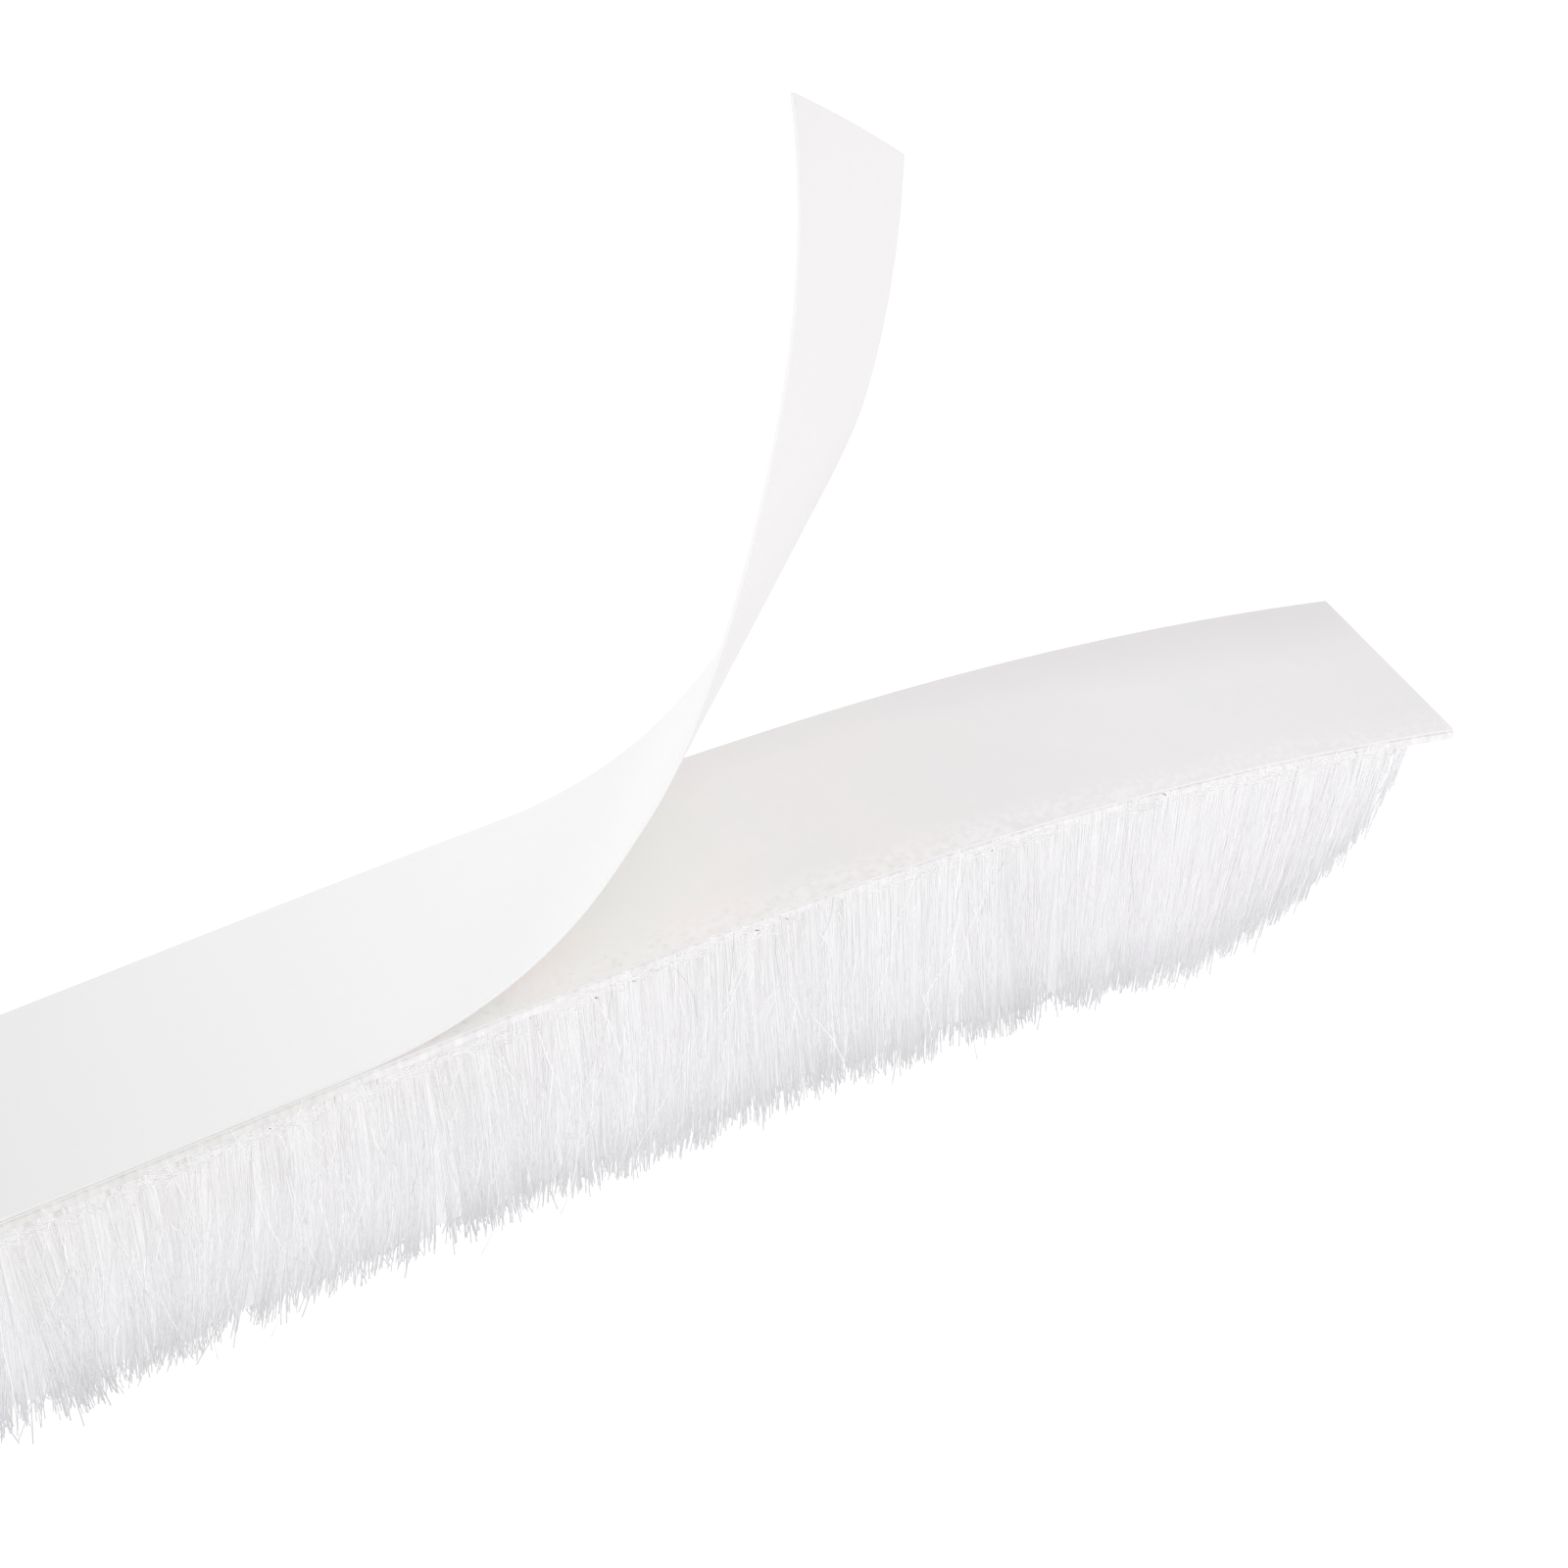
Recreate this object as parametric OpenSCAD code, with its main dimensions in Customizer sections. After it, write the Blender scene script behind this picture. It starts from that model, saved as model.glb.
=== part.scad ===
// Self-adhesive brush seal strip, lying pile down, with its release liner peeled back from one end.
// The origin is on the floor, under the middle of the strip. +X runs along it to the peeled end,
// +Y to its far side and +Z up. Everything is in millimetres and degrees.
// The strip lies flat, then rises in a low hump near the peeled end, which droops back to the floor.

/* [Strip] */
// Length of the strip, measured along the adhesive face
strip_l = 1000; // [300:10:2000]
// Width of the woven backing
backing_w = 9; // [6:0.1:14]
// Thickness of the woven backing
backing_t = 0.3; // [0.15:0.05:1.2]

/* [Pile] */
// Height of the pile, from the backing to the tips
pile_h = 9.1; // [4:0.05:14]
// Bare edge of the backing beside the roots of the pile, on each side
pile_inset = 0.1; // [0.05:0.05:1]
// How far the tips spread past the roots on each side
pile_splay = 0.6; // [0.1:0.05:1.5]
// Bare backing left past the pile at the peeled end
pile_gap = 2.2; // [0.5:0.1:4]
// Length over which the pile rounds down to its full height at the peeled end
pile_round_l = 9; // [3:0.5:12]
// Bare backing left past the pile at the flat end
pile_gap_flat = 0.3; // [0.1:0.1:4]
// Distance from one tuft to the next along the strip
tuft_pitch = 1.85; // [1.4:0.05:4]
// Width of the parting between two tufts at their roots
parting_w = 0.6; // [0.2:0.05:1]
// Depth of that parting at the roots
parting_d = 0.25; // [0.1:0.05:0.5]
// How far the parting runs down the side of the pile before it fades out
parting_l = 6; // [2:0.5:7]

/* [Adhesive and liner] */
// Bare edge of the backing beside the adhesive layer
adhesive_inset = 0.1; // [0:0.05:1]
// Thickness of the adhesive layer
adhesive_t = 0.1; // [0.05:0.05:0.8]
// Bare edge of the adhesive beside the liner
liner_inset = 0; // [0:0.05:1]
// Thickness of the release liner
liner_t = 0.13; // [0.08:0.01:0.3]
// How much shorter than the strip the liner is
liner_short = 6; // [0:0.5:12]
// Gap between the liner and the adhesive that it lies on
liner_gap = 0.03; // [0.02:0.01:0.1]
// Distance from the peeled end to the line where the liner lifts off, at the middle of the strip
peel_at = 40.5; // [30:0.5:60]
// Angle between the strip's length and the lift-off line
peel_angle = 43; // [38:1:55]

/* [Hump] */
// Length of the hump, from the flat stretch to the drooping end
hump_l = 74; // [64:1:120]
// Slope at which the strip rises
rise = 5.6; // [0:0.1:9]
// Slope at which the peeled end droops
droop = 11.6; // [0:0.1:14]

/* [Hidden] */

// Heights above the floor on the flat stretch
root_z = pile_h;
face_z = root_z + backing_t + adhesive_t;

// Heights measured up from the adhesive face
backing_top = -adhesive_t;
backing_low = backing_top - backing_t;

// Ends of the strip and of its flat stretch
end_x = -strip_l / 2;
flat_x = strip_l / 2 - hump_l;

// Widths that follow from the backing
adhesive_w = backing_w - 2 * adhesive_inset;
liner_w = adhesive_w - 2 * liner_inset;
half_pile = backing_w / 2 - pile_inset;
half_liner = liner_w / 2;

// Each stretch of the hump, as [its share of the hump's length, the turn along it]
crest = rise + droop;
hump = [
    [0.27, rise],
    [0.12, 0],
    [0.11, -0.07 * crest],
    [0.18, -0.26 * crest],
    [0.32, -0.67 * crest],
];
hump_path = [for (h = hump) [h[0] * hump_l, h[1]]];
hump_steps = 74;
stations = [for (i = [0 : hump_steps]) hump_l * i / hump_steps];

// Moves a point with a heading, as [x, z, heading], along an arc of length l that turns by a
function advance(p, l, a) =
    abs(a) < 0.001
        ? [p.x + l * cos(p.z), p.y + l * sin(p.z), p.z]
        : let (r = l / a * 180 / PI, h = p.z + a)
          [p.x + r * (sin(h) - sin(p.z)), p.y - r * (cos(h) - cos(p.z)), h];

// Follows a list of stretches, as [length, turn], for a distance d
function follow(p, list, d, i = 0) =
    let (l = list[i][0], turn = list[i][1])
    d <= l || i == len(list) - 1
        ? advance(p, d, turn * d / l)
        : follow(advance(p, l, turn), list, d - l, i + 1);

// The adhesive face at a distance t past the flat stretch, as [x, z, heading]
function face(t) =
    t <= 0 ? [flat_x + t, face_z, 0] : follow([flat_x, face_z, 0], hump_path, t);

// A point of the side view, at a height up from the adhesive face
function side(t, up) =
    let (p = face(t))
    [p.x - up * sin(p.z), p.y + up * cos(p.z)];

// A layer of the strip, w wide, from one height to another above the adhesive face
module layer(w, low, high) {
    lower = [for (t = stations) side(t, low)];
    upper = [for (i = [hump_steps : -1 : 0]) side(stations[i], high)];
    flat_end = [[end_x, face_z + high], [end_x, face_z + low]];
    rotate([90, 0, 0])
        linear_extrude(height = w, center = true)
            polygon(concat(lower, upper, flat_end));
}

module backing_strip() {
    color([0.93, 0.92, 0.93])
        layer(backing_w, backing_low, backing_top);
}

module adhesive_layer() {
    color([0.90, 0.90, 0.88])
        layer(adhesive_w, backing_top, 0);
}

// Side view of the pile. Its peeled end rounds down to the tips like a quarter of an ellipse,
// and its tips leave the floor on one plain slope, up to the height toe_h.
pile_round = [for (i = [1 : 12]) 90 * i / 12];
pile_end_x = end_x + pile_gap_flat;
toe_h = 0.3;
function tip(t) = side(t, -face_z);
function on_outline(t) = t == 0 || tip(t).y > toe_h;
module pile_side() {
    pile_t = hump_l - pile_gap;
    round_t = pile_t - pile_round_l;
    roots = [for (t = stations) if (t < pile_t) side(t, backing_low)];
    rounding = [
        for (a = concat([0], pile_round))
            side(pile_t - pile_round_l * (1 - cos(a)), backing_low - pile_h * sin(a))
    ];
    tips = [
        for (i = [hump_steps : -1 : 0])
            if (stations[i] < round_t && on_outline(stations[i])) tip(stations[i])
    ];
    flat_end = [[pile_end_x, 0], [pile_end_x, root_z]];
    polygon(concat(roots, rounding, tips, flat_end));
}

// Cross-section of the pile: narrow at the roots, spread at the tips, with soft lower corners
soft_corner = 0.35;
module pile_section() {
    top = face_z + pile_h;
    foot = half_pile + pile_splay;
    polygon([
        [-foot + soft_corner, 0], [foot - soft_corner, 0], [foot, soft_corner],
        [half_pile, root_z], [half_pile, top],
        [-half_pile, top], [-half_pile, root_z], [-foot, soft_corner],
    ]);
}

// A comb of V-shaped grooves at the places given, which parts the tufts on one side of the pile.
// It starts a little above the roots and ends a little below the line where it fades out.
parting_spare = 0.6;
module partings(places) {
    lean = atan(pile_splay / pile_h + parting_d / parting_l);
    groove = [[-parting_w, 2 * parting_d], [0, 0], [parting_w, 2 * parting_d]];
    ends = [places[len(places) - 1] + parting_w, places[0] - parting_w];
    translate([0, half_pile - parting_d, 0])
        rotate([lean, 0, 0])
            mirror([0, 0, 1])
                translate([0, 0, -parting_spare])
                    linear_extrude(height = parting_l + 2 * parting_spare)
                        polygon(concat(
                            [for (x = places) for (g = groove) [x + g.x, g.y]],
                            [for (x = ends) [x, 3 * parting_d]]
                        ));
}

// The partings on both sides, with the roots at z = 0
module both_partings(places) {
    partings(places);
    mirror([0, 1, 0]) partings(places);
}

// Where two tufts part: along the flat stretch, and at distances t along the hump
flat_tufts = floor((strip_l - hump_l - pile_gap_flat) / tuft_pitch);
flat_partings = [for (i = [flat_tufts - 1 : -1 : 1]) flat_x - (i - 0.5) * tuft_pitch];
hump_tufts = floor((hump_l - pile_gap) / tuft_pitch);
hump_partings = [for (i = [0 : hump_tufts - 1]) (i + 0.5) * tuft_pitch];

module bristle_pile() {
    color([0.90, 0.89, 0.91])
        difference() {
            intersection() {
                rotate([90, 0, 0])
                    linear_extrude(height = 2 * backing_w, center = true)
                        pile_side();
                rotate([90, 0, 90])
                    linear_extrude(height = 2 * strip_l, center = true)
                        pile_section();
            }
            translate([0, 0, root_z])
                both_partings(flat_partings);
            for (t = hump_partings)
                translate([side(t, backing_low).x, 0, side(t, backing_low).y])
                    rotate([0, -face(t).z, 0])
                        both_partings([0]);
        }
}

// The liner: a point that lies on the adhesive, at flat coordinates measured from the lift-off line
peel_t = hump_l - peel_at;
function laid(x, y, up) =
    let (s = side(peel_t + x, up))
    [s.x, y, s.y];

// The loose end turns about slanting lines. How sharply it turns is given as
// [share of the loose end's length, degrees that it would turn in its whole length].
// It rolls up off the strip, runs straight for a little, rolls up again and ends in a slow curl.
loose_l = peel_at - liner_short;
turning = [[0, 280], [0.25, 240], [0.35, 0], [0.45, 300], [0.65, 65], [1, 90]];
function turn_rate(x) = lookup(x / loose_l, turning) / loose_l;

// The bending lines don't all slant alike, because the loose end is twisted a little.
// How much more they slant than the lift-off line is given as [that share, degrees].
twisting = [[0, 0], [0.25, 4], [0.5, -9], [0.75, 14]];
function slant(x) = peel_angle + lookup(x / loose_l, twisting);

// Turns a vector about a unit axis
function turned(v, axis, a) =
    v * cos(a) + cross(axis, v) * sin(a) + axis * (axis * v) * (1 - cos(a));

// The liner's middle line carries a frame: [place, direction along, direction across, face's normal]
function bending_line(f, x) = cos(slant(x)) * f[1] + sin(slant(x)) * f[2];
function marched(f, x0, x1) =
    let (
        axis = bending_line(f, x0),
        a = -turn_rate(x0) * (x1 - x0) * sin(slant(x0)),
        ahead = turned(f[1], axis, a)
    )
    [f[0] + (f[1] + ahead) / 2 * (x1 - x0), ahead, turned(f[2], axis, a), turned(f[3], axis, a)];

// Distances along the middle line at which the liner has a bending line: one passes
// through the far corner of its square end, and the last is just short of the near corner
short_of_corner = 0.05;
corner_x = loose_l - half_liner / tan(slant(loose_l - half_liner));
last_x = loose_l + half_liner / tan(slant(loose_l + half_liner)) - short_of_corner;
before = 34;
beyond = 12;
lines_x = concat(
    [for (i = [0 : before]) corner_x * i / before],
    [for (i = [1 : beyond]) corner_x + (last_x - corner_x) * i / beyond]
);
lift_heading = face(peel_t).z;
first_frame = [
    laid(0, 0, 0),
    [cos(lift_heading), 0, sin(lift_heading)],
    [0, 1, 0],
    [-sin(lift_heading), 0, cos(lift_heading)]
];
function frames(i) =
    i == 0
        ? [first_frame]
        : let (done = frames(i - 1))
          concat(done, [marched(done[i - 1], lines_x[i - 1], lines_x[i])]);
lifted = frames(len(lines_x) - 1);

// A point on bending line i of the loose end. Near the lift-off line it is seated on the
// gently arched strip, which the straight bending lines would leave by a hair.
seat_l = 8;
function loose(i, v, up) =
    let (
        x = lines_x[i],
        f = lifted[i],
        fade = max(0, 1 - x / seat_l),
        arched = laid(v * cos(peel_angle), v * sin(peel_angle), 0),
        straight = first_frame[0] + v * bending_line(first_frame, 0)
    )
    f[0] + v * bending_line(f, x) + up * f[3] + (arched - straight) * fade;

// One row of points across the liner, from its near to its far edge
columns = 8;
function laid_row(near_x, far_x, up) =
    [for (k = [0 : columns]) let (u = k / columns)
        laid(near_x + (far_x - near_x) * u, -half_liner + liner_w * u, up)];
function loose_row(i, up) =
    let (
        a = slant(lines_x[i]),
        low = -half_liner / sin(a),
        high = min(half_liner / sin(a), (loose_l - lines_x[i]) / cos(a))
    )
    [for (k = [0 : columns]) loose(i, low + (high - low) * k / columns, up)];

// The rows where the liner is laid: straight across, then fanning round to the lift-off line
slant_x = half_liner / tan(peel_angle);
fan_x = -slant_x - half_liner;
fan_steps = 8;
laid_steps = 16;
laid_rows = concat(
    [[end_x - flat_x - peel_t, end_x - flat_x - peel_t]],
    [for (i = [0 : laid_steps]) let (x = -peel_t + (fan_x + peel_t) * i / laid_steps) [x, x]],
    [for (i = [1 : fan_steps - 1]) let (u = i / fan_steps)
        [fan_x + u * half_liner, fan_x + u * (slant_x - fan_x)]]
);
function liner_face(up) = concat(
    [for (r = laid_rows) laid_row(r[0], r[1], up)],
    [for (i = [0 : len(lines_x) - 1]) loose_row(i, up)]
);

module release_liner() {
    under = liner_face(liner_gap);
    over = liner_face(liner_gap + liner_t);
    rows = len(under);
    wide = columns + 1;
    top = rows * wide;
    along = [0 : rows - 2];
    across = [0 : columns - 1];
    faces = concat(
        [for (i = along) for (k = across) let (e = i * wide + k)
            [e, e + wide, e + wide + 1, e + 1]],
        [for (i = along) for (k = across) let (e = top + i * wide + k)
            [e, e + 1, e + 1 + wide, e + wide]],
        [for (i = along) let (e = i * wide)
            [e, top + e, top + e + wide, e + wide]],
        [for (i = along) let (e = i * wide + columns)
            [e, e + wide, top + e + wide, top + e]],
        [for (k = across)
            [k, k + 1, top + k + 1, top + k]],
        [for (k = across) let (e = top - wide + k)
            [e, top + e, top + e + 1, e + 1]]
    );
    color([0.96, 0.96, 0.95])
        polyhedron(points = [for (face = [under, over]) for (r = face) each r], faces = faces);
}

backing_strip();
bristle_pile();
adhesive_layer();
release_liner();
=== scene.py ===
"""Looks of the self-adhesive brush seal strip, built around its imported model."""

import bmesh
import bpy
import numpy as np
from mathutils import Matrix, Vector


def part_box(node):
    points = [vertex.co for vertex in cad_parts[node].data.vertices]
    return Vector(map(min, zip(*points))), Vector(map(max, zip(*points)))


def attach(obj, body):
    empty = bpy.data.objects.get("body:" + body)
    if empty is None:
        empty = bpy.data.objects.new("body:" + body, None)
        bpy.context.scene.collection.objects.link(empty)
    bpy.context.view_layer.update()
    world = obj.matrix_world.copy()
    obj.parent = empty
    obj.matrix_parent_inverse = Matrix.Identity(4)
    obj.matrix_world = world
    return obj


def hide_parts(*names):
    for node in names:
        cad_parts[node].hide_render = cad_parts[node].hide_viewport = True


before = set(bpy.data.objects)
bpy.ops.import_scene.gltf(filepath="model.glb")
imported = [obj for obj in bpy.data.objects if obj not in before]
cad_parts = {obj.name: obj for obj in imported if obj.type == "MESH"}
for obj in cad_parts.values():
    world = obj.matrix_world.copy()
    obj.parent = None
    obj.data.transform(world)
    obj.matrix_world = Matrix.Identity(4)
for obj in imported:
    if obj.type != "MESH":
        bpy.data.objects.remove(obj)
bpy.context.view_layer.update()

# The camera stands just over a hand's width from the peeled end and looks down on it from
# the strip's near side, as the photograph does. The rest of the strip runs out of the view.
MM = 0.001
camera_place = Vector((429.807, -81.725, 95.065)) * MM
camera_right = Vector((0.89172, -0.45217, 0.01927)).normalized()
camera_back = camera_right.cross(Vector((0.28536, 0.59479, 0.75153))).normalized()
camera_data = bpy.data.cameras.new("camera")
camera_data.sensor_width = 36
camera_data.lens = 78.75
camera_data.clip_start = 10 * MM
camera = bpy.data.objects.new("camera", camera_data)
bpy.context.scene.collection.objects.link(camera)
camera_turn = Matrix((camera_right, camera_back.cross(camera_right), camera_back)).transposed()
camera.matrix_world = Matrix.Translation(camera_place) @ camera_turn.to_4x4()
bpy.context.scene.camera = camera

# The backing is a narrow band woven from polypropylene yarn and set by heat. The tufts are
# woven into it, so only its edges and the bare ends show. Its solid is right as it is.
THREAD = 0.42 * MM
RELIEF = 0.03 * MM
BARED_LENGTH = 45 * MM
BARED_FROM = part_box("adhesive_layer")[1].x - BARED_LENGTH


def new_material(name):
    """A material with one Principled shader, as its node tree and that shader."""
    material = bpy.data.materials.new(name)
    material.use_nodes = True
    return material.node_tree, material.node_tree.nodes["Principled BSDF"]


def node(tree, kind, inputs=(), **settings):
    """A node of a kind, with its settings made and its inputs set or linked."""
    made = tree.nodes.new(kind)
    for name, value in settings.items():
        setattr(made, name, value)
    for name, value in dict(inputs).items():
        if isinstance(value, bpy.types.NodeSocket):
            tree.links.new(value, made.inputs[name])
        else:
            made.inputs[name].default_value = value
    return made


def math_of(tree, operation, a, b=0.0):
    return node(tree, "ShaderNodeMath", {0: a, 1: b}, operation=operation).outputs[0]


def blend_of(tree, factor, low, high):
    """The colour between two colours, each a socket or red, green and blue."""
    ends = [c if isinstance(c, bpy.types.NodeSocket) else (*c, 1) for c in (low, high)]
    inputs = {"Factor": factor, "A": ends[0], "B": ends[1]}
    mix = tree.nodes.new("ShaderNodeMix")
    mix.data_type = "RGBA"
    for name, value in inputs.items():
        socket = [s for s in mix.inputs if s.name == name and s.enabled][0]
        if isinstance(value, bpy.types.NodeSocket):
            tree.links.new(value, socket)
        else:
            socket.default_value = value
    return [s for s in mix.outputs if s.enabled][0]


def ramp_of(tree, value, first, last, low=0.0, high=1.0):
    """Goes smoothly from low to high while the value goes from first to last."""
    return node(tree, "ShaderNodeMapRange", {
        "Value": value, "From Min": first, "From Max": last, "To Min": low, "To Max": high,
    }, interpolation_type="SMOOTHSTEP").outputs[0]


def bump_of(tree, height, distance):
    return node(tree, "ShaderNodeBump", {"Height": height, "Distance": distance}).outputs["Normal"]


def woven_group():
    """Plain weave: the height of the threads, from 0 in the gaps to 1 on the crossings."""
    group = bpy.data.node_groups.new("woven threads", "ShaderNodeTree")
    group.interface.new_socket("Place", in_out="INPUT", socket_type="NodeSocketVector")
    group.interface.new_socket("Thread", in_out="INPUT", socket_type="NodeSocketFloat")
    group.interface.new_socket("Height", in_out="OUTPUT", socket_type="NodeSocketFloat")
    inside = group.nodes.new("NodeGroupInput")
    outside = group.nodes.new("NodeGroupOutput")
    parts = node(group, "ShaderNodeSeparateXYZ", {0: inside.outputs["Place"]})
    turns = math_of(group, "DIVIDE", np.pi, inside.outputs["Thread"])
    waves = [
        math_of(group, "SINE", math_of(group, "MULTIPLY", parts.outputs[axis], turns))
        for axis in ("X", "Y")
    ]
    crossing = math_of(group, "MULTIPLY", waves[0], waves[1])
    group.links.new(math_of(group, "ABSOLUTE", crossing), outside.inputs["Height"])
    return group


def mottle_group():
    """Soft uneven patches, from 0 to 1, for stock that isn't quite the same all over."""
    group = bpy.data.node_groups.new("mottle", "ShaderNodeTree")
    group.interface.new_socket("Place", in_out="INPUT", socket_type="NodeSocketVector")
    group.interface.new_socket("Per metre", in_out="INPUT", socket_type="NodeSocketFloat")
    group.interface.new_socket("Patches", in_out="OUTPUT", socket_type="NodeSocketFloat")
    inside = group.nodes.new("NodeGroupInput")
    outside = group.nodes.new("NodeGroupOutput")
    noise = node(group, "ShaderNodeTexNoise", {
        "Vector": inside.outputs["Place"], "Scale": inside.outputs["Per metre"],
        "Detail": 3.0, "Roughness": 0.55,
    })
    spread = node(group, "ShaderNodeMapRange", {
        "Value": noise.outputs[0], "From Min": 0.3, "From Max": 0.7,
    })
    group.links.new(spread.outputs[0], outside.inputs["Patches"])
    return group


woven = woven_group()
mottle = mottle_group()


def group_of(tree, group, inputs):
    """The output of a shared group placed in a material."""
    placed_group = tree.nodes.new("ShaderNodeGroup")
    placed_group.node_tree = group
    for name, value in inputs.items():
        if isinstance(value, bpy.types.NodeSocket):
            tree.links.new(value, placed_group.inputs[name])
        else:
            placed_group.inputs[name].default_value = value
    return placed_group.outputs[0]


def object_place(tree):
    return node(tree, "ShaderNodeTexCoord").outputs["Object"]


def backing_material():
    """Off-white threads, greyer along the liner, where some adhesive has crept over the edge."""
    tree, shader = new_material("woven backing")
    place = object_place(tree)
    threads = group_of(tree, woven, {"Place": place, "Thread": THREAD})
    patches = group_of(tree, mottle, {"Place": place, "Per metre": 1600})
    along = node(tree, "ShaderNodeSeparateXYZ", {0: place}).outputs["X"]
    half_fade = 3 * MM
    bared = ramp_of(tree, along, BARED_FROM - half_fade, BARED_FROM + half_fade)
    thread = blend_of(tree, bared, (0.775, 0.768, 0.757), (0.89, 0.87, 0.88))
    gap = blend_of(tree, bared, (0.70, 0.695, 0.68), (0.75, 0.735, 0.745))
    colour = blend_of(tree, patches, gap, thread)
    tree.links.new(colour, shader.inputs["Base Color"])
    tree.links.new(bump_of(tree, threads, RELIEF), shader.inputs["Normal"])
    shader.inputs["Roughness"].default_value = 0.7
    return bpy.data.materials["woven backing"]


def dress(piece, material):
    """Gives a piece one material in all its slots."""
    piece.data.materials.clear()
    piece.data.materials.append(material)


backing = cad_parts["backing_strip"]
dress(backing, backing_material())

# The adhesive is a thin milky film on the backing's flat side. It is a little warmer where the
# liner has just come off it. Along its near edge the weave shows through as pale spots, with
# a few dull ones among them by the peel.
FACE_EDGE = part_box("adhesive_layer")[1].y


def adhesive_material():
    """A milky film that is warm by the peel, with painted shade towards its far side and across the
    middle of the bared stretch, and spots beside its near edge.
    """
    tree, shader = new_material("milky adhesive")
    place = object_place(tree)
    parts = node(tree, "ShaderNodeSeparateXYZ", {0: place})
    fresh = ramp_of(tree, parts.outputs["X"], BARED_FROM + 10 * MM, BARED_FROM + 34 * MM, 1, 0)
    from_edge = math_of(tree, "ADD", parts.outputs["Y"], FACE_EDGE)
    beside_edge = ramp_of(tree, from_edge, 0.3 * MM, 1.8 * MM, 1, 0)
    broad = group_of(tree, mottle, {"Place": place, "Per metre": 260})
    fine = group_of(tree, mottle, {"Place": place, "Per metre": 3400})
    uneven = math_of(
        tree, "ADD", math_of(tree, "MULTIPLY", broad, 0.7), math_of(tree, "MULTIPLY", fine, 0.3),
    )
    green = ramp_of(tree, uneven, 0.25, 0.75)
    milky = blend_of(tree, green, (0.865, 0.84, 0.85), (0.85, 0.838, 0.842))
    warm = blend_of(tree, green, (0.86, 0.815, 0.795), (0.82, 0.82, 0.79))
    near_film = blend_of(tree, fresh, milky, warm)
    # Painted shade: the face greys towards its far side and across the middle of the bared stretch.
    far_side_shade = ramp_of(tree, parts.outputs["Y"], 0.5 * MM, FACE_EDGE, 0, 0.6)
    shade_rising = ramp_of(tree, parts.outputs["X"], BARED_FROM + 6 * MM, BARED_FROM + 20 * MM)
    shade_falling = ramp_of(tree, parts.outputs["X"], BARED_FROM + 22 * MM, BARED_FROM + 38 * MM, 0.36, 0)
    painted_shade = math_of(tree, "MAXIMUM", far_side_shade, math_of(tree, "MULTIPLY", shade_rising, shade_falling))
    film = blend_of(tree, painted_shade, near_film, (0.74, 0.72, 0.725))
    pale = math_of(tree, "MULTIPLY", beside_edge, ramp_of(tree, fine, 0.3, 0.8, 0.1, 0.6))
    bare_weave = blend_of(tree, fresh, (0.93, 0.91, 0.917), (0.875, 0.855, 0.86))
    lightened = blend_of(tree, pale, film, bare_weave)
    dull = math_of(tree, "MULTIPLY", beside_edge, ramp_of(tree, fine, 0.3, 0.05, 0, 0.7))
    face = blend_of(tree, math_of(tree, "MULTIPLY", dull, fresh), lightened, (0.73, 0.73, 0.71))
    cut_edge = ramp_of(tree, from_edge, 0.01 * MM, 0.03 * MM, 1, 0)
    side = blend_of(tree, fresh, (0.83, 0.815, 0.825), (0.78, 0.775, 0.765))
    colour = blend_of(tree, cut_edge, face, side)
    tree.links.new(colour, shader.inputs["Base Color"])
    tree.links.new(bump_of(tree, broad, RELIEF), shader.inputs["Normal"])
    rough = math_of(tree, "ADD", 0.35, math_of(tree, "MULTIPLY", fine, 0.15))
    tree.links.new(rough, shader.inputs["Roughness"])
    shader.inputs["Specular IOR Level"].default_value = 0.35
    return bpy.data.materials["milky adhesive"]


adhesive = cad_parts["adhesive_layer"]
dress(adhesive, adhesive_material())

# The release liner is paper with a slippery coating. It is laid on the adhesive, and has been
# peeled up from one end along a slanting line, so that it stands in a loose curl.
SAME_PLACE = 0.002 * MM
CREASE_ANGLE = 1.0
RIM_BREADTH = 0.08 * MM


def liner_material():
    """White paper, pinkish where it turns over, with painted shade greying it away from the peeled
    end and darkening its thin rim.
    """
    tree, shader = new_material("coated paper")
    place = object_place(tree)
    parts = node(tree, "ShaderNodeSeparateXYZ", {0: place})
    loose = ramp_of(tree, parts.outputs["X"], BARED_FROM - 30 * MM, BARED_FROM + 16 * MM)
    turned = ramp_of(tree, parts.outputs["Z"], 16 * MM, 22 * MM)
    broad = group_of(tree, mottle, {"Place": place, "Per metre": 60})
    fibres = group_of(tree, mottle, {"Place": place, "Per metre": 3500})
    # Painted shade: the paper greys away from the peeled end.
    outer = blend_of(tree, loose, (0.73, 0.73, 0.73), (0.92, 0.918, 0.92))
    plain = blend_of(tree, turned, outer, (0.85, 0.833, 0.841))
    paper = blend_of(tree, math_of(tree, "MULTIPLY", broad, 0.1), plain, (0.95, 0.95, 0.95))
    rim = node(tree, "ShaderNodeAttribute", attribute_name="rim").outputs["Fac"]
    # Painted shade darkens the paper's thin rim.
    colour = blend_of(tree, rim, paper, (0.77, 0.77, 0.77))
    tree.links.new(colour, shader.inputs["Base Color"])
    tree.links.new(bump_of(tree, fibres, 0.004 * MM), shader.inputs["Normal"])
    rough = math_of(tree, "ADD", 0.42, math_of(tree, "MULTIPLY", fibres, 0.1))
    tree.links.new(rough, shader.inputs["Roughness"])
    shader.inputs["Specular IOR Level"].default_value = 0.4
    return bpy.data.materials["coated paper"]


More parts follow.
